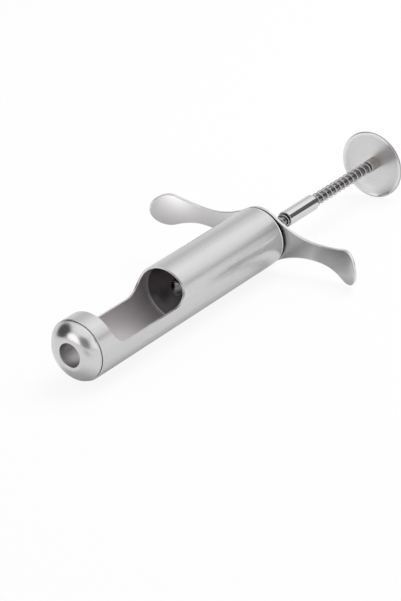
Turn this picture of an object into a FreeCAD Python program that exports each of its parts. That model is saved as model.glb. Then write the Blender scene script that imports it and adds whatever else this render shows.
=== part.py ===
import FreeCAD, Part

import math
import os

import Sketcher
from FreeCAD import Placement, Rotation, Vector

# A fruit pitter of the syringe type, in millimetres.
# Inside each body the tool's axis is Y: 0 is the tube's front edge, and +Y runs to the thumb disc.
# +Z is the window's side and +X the right-hand wing.
# Each finished piece is then placed so that the origin lies midway along the tool, under its lowest point.

SIZES = [
    ("barrel_radius", 14.0, "outside of the tube"),
    ("barrel_wall", 1.0, "sheet of the tube"),
    ("barrel_length", 127.5, "front edge to rear edge"),
    ("barrel_edge", 0.3, "broken outer edge at both ends of the tube"),
    ("window_front", 8.7, "front edge of the fruit window"),
    ("window_rear", 58.3, "rear edge of the fruit window"),
    ("window_height", 0.0, "the window's straight sides above the axis"),
    ("window_front_corner", 8.0, "corner radius at the window's front"),
    ("window_rear_corner", 8.6, "corner radius at the window's rear"),
    ("press_clearance", 0.05, "between a plug and the tube that holds it"),
    ("running_clearance", 0.06, "between the rod and the bores that guide it"),
    ("seam_gap", 0.4, "dark gap between the cap's shoulder and the tube"),
    ("cap_step", 0.6, "the cap's shoulder below the tube's surface"),
    ("cap_height", 5.2, "tube's edge to the cap's nose"),
    ("cap_side", 0.8, "straight side of the cap's shoulder"),
    ("cap_crown_radius", 11.0, "arc of the cap's dome"),
    ("nose_radius", 7.0, "outer edge of the cap's flat nose"),
    ("outlet_radius", 5.3, "pit outlet"),
    ("outlet_lip", 0.5, "rounded lip of the pit outlet"),
    ("spigot_length", 6.0, "the cap's spigot inside the tube"),
    ("spigot_wall", 1.1, "wall at the spigot's end"),
    ("seat_depth", 0.9, "depth of the cap's conical fruit seat"),
    ("cup_front", 63.0, "rim of the fruit cup"),
    ("cup_rim", 0.65, "thickness of the cup's rim"),
    ("cup_wall", 1.2, "sheet of the cup's bowl"),
    ("cup_bowl_back", 1.4, "rim of the cup to the back of its bowl"),
    ("cup_band", 7.0, "length of the cup's band in the tube"),
    ("cup_depth", 5.3, "depth of the cup's bowl"),
    ("cup_bowl_radius", 14.0, "arc of the cup's bowl"),
    ("cup_hub_wall", 1.6, "wall of the cup's hub"),
    ("cup_guide_length", 3.0, "length of the hub's bore for the rod"),
    ("head_radius", 3.4, "outside of the coring head"),
    ("head_length", 12.0, "coring head, teeth included"),
    ("head_wall", 0.8, "wall of the head's crown"),
    ("head_bore_depth", 6.5, "depth of the head's hollow"),
    ("head_tooth_depth", 3.0, "depth of the notches between the teeth"),
    ("head_inset", 4.0, "the teeth's points behind the cup's rim, at rest"),
    ("head_gap", 0.2, "between the head and the cup's hub"),
    ("plug_length", 9.0, "the plug's length inside the tube"),
    ("flange_radius", 13.2, "the plug's polished flange"),
    ("flange_thickness", 1.6, "the plug's polished flange"),
    ("flange_edge", 0.3, "rounding of the flange's rear edge"),
    ("neck_radius", 10.5, "the plug's neck, on which the plate sits"),
    ("neck_length", 0.5, "gap between the flange and the plate"),
    ("stub_radius", 4.5, "the plug's threaded stub"),
    ("stub_clearance", 0.05, "between the stub and what it carries"),
    ("plate_thickness", 1.5, "sheet of the handle plate"),
    ("plate_hub_radius", 13.6, "round middle of the handle plate"),
    ("wing_reach", 48.9, "axis to the middle of a wing's paddle"),
    ("paddle_radius", 7.9, "round end of a wing"),
    ("wing_hollow_radius", 40.8, "hollow between the hub and a paddle"),
    ("wing_bend_start", 32.8, "where a wing starts to bend forward"),
    ("wing_bend_radius", 36.9, "bend of a wing, on its front face"),
    ("plate_edge", 0.4, "rounded edges of the plate"),
    ("wing_turn", 8.6, "degrees that the plate is turned against the window"),
    ("nut_across_flats", 13.0, "lock nut"),
    ("nut_thickness", 2.2, "lock nut"),
    ("nut_edge", 0.3, "broken edge of the lock nut's bore"),
    ("rod_radius", 2.2, "plunger rod"),
    ("rod_socket_depth", 3.5, "depth of the rod's end in the head"),
    ("rod_edge", 0.3, "broken ends of the rod"),
    ("spring_radius", 3.0, "outside of the spring"),
    ("spring_wire", 0.5, "wire of the spring"),
    ("spring_length", 84.3, "the spring at rest, from the lock nut to the collar"),
    ("spring_half_turns", 49.0, "half turns of the spring's open coils"),
    ("spring_end_rise", 1.2, "rise of each bend into the spring's coils"),
    ("spring_end_turn", 70.0, "degrees taken by each of the spring's bent ends"),
    ("sleeve_radius", 3.75, "outside of the stop sleeve"),
    ("sleeve_wall", 0.55, "wall of the stop sleeve"),
    ("sleeve_length", 21.6, "stop sleeve"),
    ("sleeve_stand", 15.5, "the stop sleeve behind the lock nut, at rest"),
    ("sleeve_edge", 0.15, "rounded ends of the stop sleeve"),
    ("collar_radius", 3.0, "disc collar"),
    ("collar_length", 4.8, "disc collar"),
    ("collar_edge", 0.15, "broken edge of the disc collar"),
    ("disc_radius", 16.5, "thumb disc"),
    ("disc_thickness", 1.2, "sheet of the thumb disc"),
    ("disc_dish", 2.4, "depth of the disc's hollow front face"),
    ("disc_flat_radius", 4.0, "flat middle of the disc, under the collar"),
    ("disc_rim_round", 0.5, "rounded rim of the disc"),
]

doc = FreeCAD.newDocument("fruit_pitter")

sheet = doc.addObject("Spreadsheet::Sheet", "Sizes")
size = {}
for row, (alias, value, meaning) in enumerate(SIZES, start=1):
    sheet.set("A%d" % row, alias)
    sheet.set("B%d" % row, str(value))
    sheet.set("C%d" % row, meaning)
    sheet.setAlias("B%d" % row, alias)
    size[alias] = value
doc.recompute()


def cell(text):
    """The same sum as an expression on the sheet: every size's name gets the sheet's name before it."""
    words = []
    word = ""
    for letter in text + " ":
        if letter.isalnum() or letter == "_":
            word += letter
            continue
        words.append("Sizes." + word if word in size else word)
        words.append(letter)
        word = ""
    return "".join(words).strip()


def number(text):
    """The value of a sum of sizes, read from the sheet."""
    sheet.set("E1", "=" + text)
    sheet.recompute()
    return float(sheet.get("E1"))


# Stations along the axis, each a sum of sizes
CAP_NOSE = "-cap_height"
CAP_SHOULDER = "-seam_gap"
SHEET_BORE = "barrel_radius - barrel_wall"
PLUG_RADIUS = "barrel_radius - barrel_wall - press_clearance"
HEAD_BORE = "head_radius + head_gap"
HEAD_TIP = "cup_front + head_inset"
HEAD_REAR = HEAD_TIP + " + head_length"
HEAD_PARK = HEAD_REAR + " + head_gap"
CUP_REAR = HEAD_PARK + " + cup_guide_length"
GUIDE_BORE = "rod_radius + running_clearance"
STUB_BORE = "stub_radius + stub_clearance"
FLANGE_REAR = "barrel_length + flange_thickness"
PLATE_FRONT = FLANGE_REAR + " + neck_length"
PLATE_REAR = PLATE_FRONT + " + plate_thickness"
NUT_REAR = PLATE_REAR + " + nut_thickness"
SLEEVE_FRONT = NUT_REAR + " + sleeve_stand"
SLEEVE_REAR = SLEEVE_FRONT + " + sleeve_length"
COLLAR_FRONT = NUT_REAR + " + spring_length"
COLLAR_REAR = COLLAR_FRONT + " + collar_length"
DISC_REAR = COLLAR_REAR + " + disc_thickness"
DISC_RIM = COLLAR_REAR + " - disc_dish"
MIDDLE = "(" + DISC_REAR + " - cap_height) / 2"

# Outlines of cuts and of the sheet reach past the finished piece by these
WINDOW_TOP = "barrel_radius * 1.5"
SHEET_END = "wing_reach + paddle_radius * 1.2"
SHEET_WIDTH = "plate_hub_radius * 3"
TRIM_END = "wing_reach + paddle_radius * 1.5"
TRIM_HEIGHT = "plate_hub_radius * 2"
NOTCH_HALF_WIDTH = "head_radius * 0.9"
NOTCH_START = "head_tooth_depth / 3"

NEARLY_NOTHING = 1e-9
SAME_PLACE = 1e-4
FLAT = 0.01
Z_AXIS = Vector(0, 0, 1)


def new_body(name):
    """A body for one piece."""
    body = doc.addObject("PartDesign::Body", name)
    body.Label = name
    return body


def origin_plane(body, role):
    """One of the body's own origin planes."""
    for feature in body.Origin.OriginFeatures:
        if feature.Role == role:
            return feature
    raise ValueError(role)


def new_sketch(body, name, role):
    """A sketch on one of the body's origin planes."""
    sketch = body.newObject("Sketcher::SketchObject", name)
    sketch.AttachmentSupport = (origin_plane(body, role), [""])
    sketch.MapMode = "FlatFace"
    return sketch


def hold(sketch, kind, parts, text):
    """A driving constraint bound to a sum of sizes."""
    value = number(text)
    index = sketch.addConstraint(Sketcher.Constraint(kind, *parts, value))
    sketch.setExpression("Constraints[%d]" % index, cell(text))


def outline(sketch, points, arcs=None):
    """A closed outline through points (across, along), each a sum of sizes.

    arcs maps the number of a side to (radius, way): it bulges to its left for way 1 and to its right for -1.
    """
    arcs = arcs or {}
    spots = [Vector(number(across), number(along), 0) for across, along in points]
    count = len(spots)
    for side in range(count):
        start = spots[side]
        end = spots[(side + 1) % count]
        if side in arcs:
            radius, way = arcs[side]
            chord = end - start
            rise = number(radius) - math.sqrt(number(radius) ** 2 - (chord.Length / 2) ** 2)
            left = Vector(-chord.y, chord.x, 0).normalize()
            top = (start + end) / 2 + left * rise * way
            sketch.addGeometry(Part.Arc(start, top, end), False)
        else:
            sketch.addGeometry(Part.LineSegment(start, end), False)
    ends = []
    for side in range(count):
        flipped = side in arcs and arcs[side][1] > 0
        ends.append((2, 1) if flipped else (1, 2))
    for side in range(count):
        following = (side + 1) % count
        join = (side, ends[side][1], following, ends[following][0])
        sketch.addConstraint(Sketcher.Constraint("Coincident", *join))
    for side, (across, along) in enumerate(points):
        corner = (-1, 1, side, ends[side][0])
        hold_place(sketch, "DistanceX", corner, across)
        hold_place(sketch, "DistanceY", corner, along)
    for side, (radius, way) in arcs.items():
        hold(sketch, "Radius", (side,), radius)


def hold_place(sketch, kind, corner, text):
    """Holds a corner's distance from the origin, or lays the corner on the axis where that is nought."""
    if abs(number(text)) < NEARLY_NOTHING:
        line = -2 if kind == "DistanceX" else -1
        sketch.addConstraint(Sketcher.Constraint("PointOnObject", corner[2], corner[3], line))
        return
    hold(sketch, kind, corner, text)


def revolve(body, name, points, arcs=None):
    """A turned solid: the outline's points are (radius, station) on the axis Y."""
    sketch = new_sketch(body, name + "_profile", "XY_Plane")
    outline(sketch, points, arcs)
    turned = body.newObject("PartDesign::Revolution", name)
    turned.Profile = sketch
    turned.ReferenceAxis = (sketch, ["V_Axis"])
    turned.Angle = 360
    doc.recompute()
    return turned


def edges_where(feature, test):
    """Names of the edges of a feature's shape that pass a test."""
    return ["Edge%d" % (i + 1) for i, edge in enumerate(feature.Shape.Edges) if test(edge)]


def ring_at(station, radius):
    """A test for round edges at one station and radius."""
    def test(edge):
        if edge.Curve.TypeId != "Part::GeomCircle":
            return False
        same_station = abs(edge.Curve.Center.y - station) < SAME_PLACE
        return same_station and abs(edge.Curve.Radius - radius) < SAME_PLACE
    return test


def dress(body, kind, name, feature, names, text):
    """A fillet or chamfer on named edges, its size bound to the sheet."""
    dressed = body.newObject("PartDesign::" + kind, name)
    dressed.Base = (feature, names)
    dressed.setExpression("Radius" if kind == "Fillet" else "Size", cell(text))
    doc.recompute()
    return dressed


def place(piece, turn=None):
    """Moves a finished piece into the tool's frame, turned about the axis first where it is turned."""
    piece.setExpression(".Placement.Base.y", "-(" + cell(MIDDLE) + ")")
    piece.setExpression(".Placement.Base.z", cell("disc_radius"))
    if turn:
        piece.Placement = Placement(piece.Placement.Base, Rotation(Vector(0, 1, 0), number(turn)))
        piece.setExpression(".Placement.Rotation.Axis.x", "0")
        piece.setExpression(".Placement.Rotation.Axis.y", "1")
        piece.setExpression(".Placement.Rotation.Axis.z", "0")
        piece.setExpression(".Placement.Rotation.Angle", cell(turn))


def make_barrel_tube():
    """Thin tube, cut open to its middle over the fruit."""
    body = new_body("barrel_tube")
    tube = revolve(body, "tube", [
        (SHEET_BORE, "0"),
        ("barrel_radius", "0"),
        ("barrel_radius", "barrel_length"),
        (SHEET_BORE, "barrel_length"),
    ])
    ends = edges_where(tube, ring_at(0, number("barrel_radius")))
    ends += edges_where(tube, ring_at(number("barrel_length"), number("barrel_radius")))
    dress(body, "Chamfer", "broken_edges", tube, ends, "barrel_edge")
    whole = body.Shape.Volume
    sketch = new_sketch(body, "window_outline", "YZ_Plane")
    window_outline(sketch)
    cut_through(body, "window", sketch)
    if body.Shape.Volume >= whole:
        raise ValueError("the window cuts nothing")
    place(body)
    return body


def window_outline(sketch):
    """Side view of the window: open above, with a round corner at each end of its straight side."""
    front = number("window_front")
    rear = number("window_rear")
    floor = number("window_height")
    first = number("window_front_corner")
    last = number("window_rear_corner")
    above = number(WINDOW_TOP)
    front_arc = Part.Circle(Vector(front + first, floor + first, 0), Z_AXIS, first)
    rear_arc = Part.Circle(Vector(rear - last, floor + last, 0), Z_AXIS, last)
    sketch.addGeometry([
        Part.LineSegment(Vector(front, above, 0), Vector(front, floor + first, 0)),
        Part.ArcOfCircle(front_arc, math.pi, 1.5 * math.pi),
        Part.LineSegment(Vector(front + first, floor, 0), Vector(rear - last, floor, 0)),
        Part.ArcOfCircle(rear_arc, 1.5 * math.pi, 2 * math.pi),
        Part.LineSegment(Vector(rear, floor + last, 0), Vector(rear, above, 0)),
        Part.LineSegment(Vector(rear, above, 0), Vector(front, above, 0)),
    ], False)
    joins = [(0, 2, 1, 1), (1, 2, 2, 1), (2, 2, 3, 1), (3, 2, 4, 1)]
    for join in joins:
        sketch.addConstraint(Sketcher.Constraint("Tangent", *join))
    sketch.addConstraint(Sketcher.Constraint("Coincident", 4, 2, 5, 1))
    sketch.addConstraint(Sketcher.Constraint("Coincident", 5, 2, 0, 1))
    sketch.addConstraint(Sketcher.Constraint("Horizontal", 2))
    sketch.addConstraint(Sketcher.Constraint("Vertical", 0))
    sketch.addConstraint(Sketcher.Constraint("Vertical", 4))
    sketch.addConstraint(Sketcher.Constraint("Horizontal", 5))
    hold(sketch, "DistanceX", (-1, 1, 0, 1), "window_front")
    hold(sketch, "DistanceX", (-1, 1, 4, 2), "window_rear")
    hold(sketch, "DistanceY", (-1, 1, 0, 1), WINDOW_TOP)
    hold(sketch, "Radius", (1,), "window_front_corner")
    hold(sketch, "Radius", (3,), "window_rear_corner")
    hold_place(sketch, "DistanceY", (-1, 1, 2, 1), "window_height")


def make_front_cap():
    """Domed cap with the pit outlet, a conical fruit seat and a spigot that screws into the tube."""
    body = new_body("front_cap")
    shoulder = "barrel_radius - cap_step"
    cap = revolve(body, "cap", [
        ("outlet_radius", CAP_NOSE),
        ("nose_radius", CAP_NOSE),
        (shoulder, "-seam_gap - cap_side"),
        (shoulder, CAP_SHOULDER),
        (PLUG_RADIUS, CAP_SHOULDER),
        (PLUG_RADIUS, "spigot_length"),
        (PLUG_RADIUS + " - spigot_wall", "spigot_length"),
        ("outlet_radius", "spigot_length - seat_depth"),
    ], {1: ("cap_crown_radius", -1)})
    lip = edges_where(cap, ring_at(number(CAP_NOSE), number("outlet_radius")))
    dress(body, "Fillet", "outlet_lip", cap, lip, "outlet_lip")
    place(body)
    return body


def make_fruit_cup():
    """Dished cup in the tube: the fruit rests against it, and its hub parks the head and guides the rod."""
    body = new_body("fruit_cup")
    band = PLUG_RADIUS + " - cup_rim"
    hub = HEAD_BORE + " + cup_hub_wall"
    revolve(body, "cup", [
        (band, "cup_front"),
        (PLUG_RADIUS, "cup_front"),
        (PLUG_RADIUS, "cup_front + cup_band"),
        (band, "cup_front + cup_band"),
        (band, "cup_front + cup_bowl_back"),
        (hub, "cup_front + cup_depth + cup_wall / 2"),
        (hub, CUP_REAR),
        (GUIDE_BORE, CUP_REAR),
        (GUIDE_BORE, HEAD_PARK),
        (HEAD_BORE, HEAD_PARK),
        (HEAD_BORE, "cup_front + cup_depth"),
    ], {4: ("cup_bowl_radius", -1), 10: ("cup_bowl_radius", 1)})
    place(body)
    return body


def make_rear_plug():
    """Plug of the tube's rear end: spigot, flange, neck for the plate and stub, bored for the rod."""
    body = new_body("rear_plug")
    plug = revolve(body, "plug", [
        (GUIDE_BORE, "barrel_length - plug_length"),
        (PLUG_RADIUS, "barrel_length - plug_length"),
        (PLUG_RADIUS, "barrel_length"),
        ("flange_radius", "barrel_length"),
        ("flange_radius", FLANGE_REAR),
        ("neck_radius", FLANGE_REAR),
        ("neck_radius", PLATE_FRONT),
        ("stub_radius", PLATE_FRONT),
        ("stub_radius", NUT_REAR),
        (GUIDE_BORE, NUT_REAR),
    ])
    rim = edges_where(plug, ring_at(number(FLANGE_REAR), number("flange_radius")))
    dress(body, "Fillet", "flange_edge", plug, rim, "flange_edge")
    place(body)
    return body


def make_handle_plate():
    """One sheet with a round middle and two wings that end in paddles and bend forward."""
    body = new_body("handle_plate")
    strip_sketch = new_sketch(body, "sheet_section", "XY_Plane")
    sheet_section(strip_sketch)
    strip = body.newObject("PartDesign::Pad", "sheet")
    strip.Profile = strip_sketch
    strip.SideType = "Symmetric"
    strip.setExpression("Length", cell(SHEET_WIDTH))
    doc.recompute()
    trim_sketch = new_sketch(body, "wing_outline", "XZ_Plane")
    wing_outline(trim_sketch)
    trim = cut_through(body, "trim", trim_sketch)
    both = body.newObject("PartDesign::Mirrored", "both_wings")
    both.Originals = [strip, trim]
    both.MirrorPlane = (origin_plane(body, "YZ_Plane"), [""])
    body.Tip = both
    doc.recompute()
    hole_sketch = new_sketch(body, "stub_hole_outline", "XZ_Plane")
    hole_sketch.addGeometry(Part.Circle(Vector(0, 0, 0), Z_AXIS, number(STUB_BORE)))
    hole_sketch.addConstraint(Sketcher.Constraint("Coincident", 0, 3, -1, 1))
    hold(hole_sketch, "Radius", (0,), STUB_BORE)
    hole = cut_through(body, "stub_hole", hole_sketch)
    dress(body, "Fillet", "rounded_edges", hole, edges_where(hole, on_plate_outline), "plate_edge")
    place(body, "wing_turn")
    return body


def cut_through(body, name, sketch):
    """A cut through the whole body, to both sides of the sketch."""
    cut = body.newObject("PartDesign::Pocket", name)
    cut.Profile = sketch
    cut.Type = "ThroughAll"
    cut.SideType = "Symmetric"
    doc.recompute()
    return cut


def on_plate_outline(edge):
    """Whether an edge of the plate runs along its outline on either face."""
    box = edge.BoundBox
    narrow = box.XLength < FLAT
    reach = max(abs(box.XMin), abs(box.XMax), abs(box.ZMin), abs(box.ZMax))
    beyond_hole = reach > number("stub_radius * 1.5")
    through_sheet = narrow and box.ZLength < FLAT
    across_wing = narrow and abs(box.Center.x) > number("stub_radius")
    return beyond_hole and not through_sheet and not across_wing


def sheet_section(sketch):
    """Top view of one half of the sheet: flat in the middle, then bent forward."""
    flat = number("wing_bend_start")
    radius = number("wing_bend_radius")
    thick = number("plate_thickness")
    front = number(PLATE_FRONT)
    swing = math.asin((number(SHEET_END) - flat) / (radius + thick))
    centre = Vector(flat, front - radius, 0)
    inner = Part.Circle(centre, Z_AXIS, radius)
    outer = Part.Circle(centre, Z_AXIS, radius + thick)
    spoke = Vector(math.sin(swing), math.cos(swing), 0)
    sketch.addGeometry([
        Part.LineSegment(Vector(0, front, 0), Vector(flat, front, 0)),
        Part.ArcOfCircle(inner, math.pi / 2 - swing, math.pi / 2),
        Part.LineSegment(centre + spoke * radius, centre + spoke * (radius + thick)),
        Part.ArcOfCircle(outer, math.pi / 2 - swing, math.pi / 2),
        Part.LineSegment(Vector(flat, front + thick, 0), Vector(0, front + thick, 0)),
        Part.LineSegment(Vector(0, front + thick, 0), Vector(0, front, 0)),
    ], False)
    for join in [(0, 2, 1, 2), (3, 2, 4, 1)]:
        sketch.addConstraint(Sketcher.Constraint("Tangent", *join))
    for join in [(1, 1, 2, 1), (2, 2, 3, 1), (4, 2, 5, 1), (5, 2, 0, 1), (1, 3, 3, 3)]:
        sketch.addConstraint(Sketcher.Constraint("Coincident", *join))
    sketch.addConstraint(Sketcher.Constraint("Horizontal", 0))
    sketch.addConstraint(Sketcher.Constraint("Horizontal", 4))
    sketch.addConstraint(Sketcher.Constraint("PointOnObject", 0, 1, -2))
    sketch.addConstraint(Sketcher.Constraint("PointOnObject", 5, 1, -2))
    sketch.addConstraint(Sketcher.Constraint("PointOnObject", 1, 3, 2))
    hold(sketch, "DistanceY", (-1, 1, 0, 1), PLATE_FRONT)
    hold(sketch, "DistanceY", (-1, 1, 5, 1), PLATE_REAR)
    hold(sketch, "DistanceX", (-1, 1, 0, 2), "wing_bend_start")
    hold(sketch, "Radius", (1,), "wing_bend_radius")
    hold(sketch, "DistanceX", (-1, 1, 3, 1), SHEET_END)


def wing_outline(sketch):
    """Front view of what is trimmed away round half the plate: outside hub, hollows and paddle."""
    add_wing_lines(sketch)
    for join in [(0, 1, 1, 1), (1, 2, 2, 2), (2, 1, 3, 1), (3, 2, 4, 2)]:
        sketch.addConstraint(Sketcher.Constraint("Tangent", *join))
    for join in [(4, 1, 5, 1), (5, 2, 6, 1), (6, 2, 7, 1), (7, 2, 8, 1), (8, 2, 9, 1), (9, 2, 0, 2)]:
        sketch.addConstraint(Sketcher.Constraint("Coincident", *join))
    sketch.addConstraint(Sketcher.Constraint("Coincident", 0, 3, -1, 1))
    sketch.addConstraint(Sketcher.Constraint("Coincident", 4, 3, -1, 1))
    sketch.addConstraint(Sketcher.Constraint("PointOnObject", 2, 3, -1))
    for line, end in [(0, 2), (4, 1), (5, 2), (9, 1)]:
        sketch.addConstraint(Sketcher.Constraint("PointOnObject", line, end, -2))
    sketch.addConstraint(Sketcher.Constraint("Horizontal", 6))
    sketch.addConstraint(Sketcher.Constraint("Vertical", 7))
    sketch.addConstraint(Sketcher.Constraint("Horizontal", 8))
    hold(sketch, "Radius", (0,), "plate_hub_radius")
    hold(sketch, "Radius", (4,), "plate_hub_radius")
    hold(sketch, "Radius", (1,), "wing_hollow_radius")
    hold(sketch, "Radius", (3,), "wing_hollow_radius")
    hold(sketch, "Radius", (2,), "paddle_radius")
    hold(sketch, "DistanceX", (-1, 1, 2, 3), "wing_reach")
    hold(sketch, "DistanceX", (-1, 1, 7, 1), TRIM_END)
    hold(sketch, "DistanceY", (-1, 1, 8, 1), TRIM_HEIGHT)
    hold(sketch, "DistanceY", (7, 1, -1, 1), TRIM_HEIGHT)


def add_wing_lines(sketch):
    """Arcs of the hub, the hollows and the paddle, each tangent to the next, and the frame round them."""
    hub = number("plate_hub_radius")
    paddle = number("paddle_radius")
    reach = number("wing_reach")
    hollow = number("wing_hollow_radius")
    far = hub + hollow
    near = paddle + hollow
    across = (far * far - near * near + reach * reach) / (2 * reach)
    up = math.sqrt(far * far - across * across)
    wall = number(TRIM_END)
    high = number(TRIM_HEIGHT)
    hub_turn = math.atan2(up, across)
    paddle_turn = math.atan2(up, across - reach)
    hub_circle = Part.Circle(Vector(0, 0, 0), Z_AXIS, hub)
    upper_circle = Part.Circle(Vector(across, up, 0), Z_AXIS, hollow)
    lower_circle = Part.Circle(Vector(across, -up, 0), Z_AXIS, hollow)
    paddle_circle = Part.Circle(Vector(reach, 0, 0), Z_AXIS, paddle)
    sketch.addGeometry([
        Part.ArcOfCircle(hub_circle, hub_turn, math.pi / 2),
        Part.ArcOfCircle(upper_circle, hub_turn + math.pi, paddle_turn + math.pi),
        Part.ArcOfCircle(paddle_circle, -paddle_turn, paddle_turn),
        Part.ArcOfCircle(lower_circle, math.pi - paddle_turn, math.pi - hub_turn),
        Part.ArcOfCircle(hub_circle, -math.pi / 2, -hub_turn),
        Part.LineSegment(Vector(0, -hub, 0), Vector(0, -high, 0)),
        Part.LineSegment(Vector(0, -high, 0), Vector(wall, -high, 0)),
        Part.LineSegment(Vector(wall, -high, 0), Vector(wall, high, 0)),
        Part.LineSegment(Vector(wall, high, 0), Vector(0, high, 0)),
        Part.LineSegment(Vector(0, high, 0), Vector(0, hub, 0)),
    ], False)


def make_lock_nut():
    """Thin hexagon nut that clamps the plate to the plug and seats the spring."""
    body = new_body("lock_nut")
    sketch = new_sketch(body, "hexagon", "XZ_Plane")
    corner = number("nut_across_flats / sqrt(3)")
    ring = []
    for step in range(6):
        turn = math.radians(60 * step)
        ring.append(Vector(corner * math.cos(turn), corner * math.sin(turn), 0))
    for step in range(6):
        sketch.addGeometry(Part.LineSegment(ring[step], ring[(step + 1) % 6]), False)
    sketch.addGeometry(Part.Circle(Vector(0, 0, 0), Z_AXIS, corner), True)
    sketch.addGeometry(Part.Circle(Vector(0, 0, 0), Z_AXIS, number(STUB_BORE)), False)
    for step in range(6):
        following = (step + 1) % 6
        sketch.addConstraint(Sketcher.Constraint("Coincident", step, 2, following, 1))
        sketch.addConstraint(Sketcher.Constraint("PointOnObject", step, 1, 6))
        if step:
            sketch.addConstraint(Sketcher.Constraint("Equal", 0, step))
    sketch.addConstraint(Sketcher.Constraint("Coincident", 6, 3, -1, 1))
    sketch.addConstraint(Sketcher.Constraint("Coincident", 7, 3, -1, 1))
    sketch.addConstraint(Sketcher.Constraint("PointOnObject", 0, 1, -1))
    hold(sketch, "Radius", (6,), "nut_across_flats / sqrt(3)")
    hold(sketch, "Radius", (7,), STUB_BORE)
    sketch.setExpression(".AttachmentOffset.Base.z", "-(" + cell(PLATE_REAR) + ")")
    doc.recompute()
    nut = body.newObject("PartDesign::Pad", "nut")
    nut.Profile = sketch
    nut.Reversed = True
    nut.setExpression("Length", cell("nut_thickness"))
    doc.recompute()
    mouth = edges_where(nut, ring_at(number(NUT_REAR), number(STUB_BORE)))
    dress(body, "Chamfer", "bore_edge", nut, mouth, "nut_edge")
    place(body)
    return body


def make_plunger_rod():
    """Round rod from the coring head to the thumb disc."""
    body = new_body("plunger_rod")
    front = HEAD_REAR + " - rod_socket_depth"
    rod = revolve(body, "rod", [
        ("0", front),
        ("rod_radius", front),
        ("rod_radius", COLLAR_REAR),
        ("0", COLLAR_REAR),
    ])
    ends = edges_where(rod, ring_at(number(front), number("rod_radius")))
    dress(body, "Chamfer", "broken_end", rod, ends, "rod_edge")
    place(body)
    return body


def make_coring_head():
    """Hollow crown with four pointed teeth, screwed to the rod's front end."""
    body = new_body("coring_head")
    revolve(body, "crown", [
        ("0", HEAD_TIP + " + head_bore_depth"),
        ("head_radius - head_wall", HEAD_TIP + " + head_bore_depth"),
        ("head_radius - head_wall", HEAD_TIP),
        ("head_radius", HEAD_TIP),
        ("head_radius", HEAD_REAR),
        ("rod_radius", HEAD_REAR),
        ("rod_radius", HEAD_REAR + " - rod_socket_depth"),
        ("0", HEAD_REAR + " - rod_socket_depth"),
    ])
    whole = body.Shape.Volume
    sketch = new_sketch(body, "tooth_notch", "YZ_Plane")
    tooth_notch(sketch)
    notch = cut_through(body, "notch", sketch)
    crossing = body.newObject("PartDesign::PolarPattern", "crossed_notches")
    crossing.Originals = [notch]
    crossing.Axis = (sketch, ["H_Axis"])
    crossing.Angle = 180
    crossing.Occurrences = 2
    body.Tip = crossing
    doc.recompute()
    if body.Shape.Volume >= whole:
        raise ValueError("the notches cut nothing")
    place(body)
    return body


def tooth_notch(sketch):
    """Side view of one notch between the teeth: a wedge with its point to the rear."""
    tip = number(HEAD_TIP)
    root = tip + number("head_tooth_depth")
    start = tip - number(NOTCH_START)
    half = number(NOTCH_HALF_WIDTH)
    sketch.addGeometry([
        Part.LineSegment(Vector(tip, -half, 0), Vector(root, 0, 0)),
        Part.LineSegment(Vector(root, 0, 0), Vector(tip, half, 0)),
        Part.LineSegment(Vector(tip, half, 0), Vector(start, half, 0)),
        Part.LineSegment(Vector(start, half, 0), Vector(start, -half, 0)),
        Part.LineSegment(Vector(start, -half, 0), Vector(tip, -half, 0)),
    ], False)
    for side in range(5):
        sketch.addConstraint(Sketcher.Constraint("Coincident", side, 2, (side + 1) % 5, 1))
    for side in (2, 4):
        sketch.addConstraint(Sketcher.Constraint("Horizontal", side))
    sketch.addConstraint(Sketcher.Constraint("Vertical", 3))
    sketch.addConstraint(Sketcher.Constraint("PointOnObject", 0, 2, -1))
    sketch.addConstraint(Sketcher.Constraint("Symmetric", 0, 1, 1, 2, -1))
    hold(sketch, "DistanceX", (-1, 1, 0, 1), HEAD_TIP)
    hold(sketch, "DistanceX", (-1, 1, 0, 2), HEAD_TIP + " + head_tooth_depth")
    hold(sketch, "DistanceY", (-1, 1, 1, 2), NOTCH_HALF_WIDTH)
    hold(sketch, "DistanceX", (3, 1, 2, 1), NOTCH_START)


def make_stop_sleeve():
    """Polished tube that hangs on the spring and stops the stroke between the nut and the collar."""
    body = new_body("stop_sleeve")
    bore = "sleeve_radius - sleeve_wall"
    sleeve = revolve(body, "sleeve", [
        (bore, SLEEVE_FRONT),
        ("sleeve_radius", SLEEVE_FRONT),
        ("sleeve_radius", SLEEVE_REAR),
        (bore, SLEEVE_REAR),
    ])
    ends = edges_where(sleeve, ring_at(number(SLEEVE_FRONT), number("sleeve_radius")))
    ends += edges_where(sleeve, ring_at(number(SLEEVE_REAR), number("sleeve_radius")))
    dress(body, "Fillet", "rounded_ends", sleeve, ends, "sleeve_edge")
    place(body)
    return body


def make_disc_collar():
    """Short collar on the disc: it holds the rod's end and seats the spring."""
    body = new_body("disc_collar")
    collar = revolve(body, "collar", [
        ("rod_radius", COLLAR_FRONT),
        ("collar_radius", COLLAR_FRONT),
        ("collar_radius", COLLAR_REAR),
        ("rod_radius", COLLAR_REAR),
    ])
    front = edges_where(collar, ring_at(number(COLLAR_FRONT), number("collar_radius")))
    dress(body, "Chamfer", "broken_edge", collar, front, "collar_edge")
    place(body)
    return body


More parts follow.
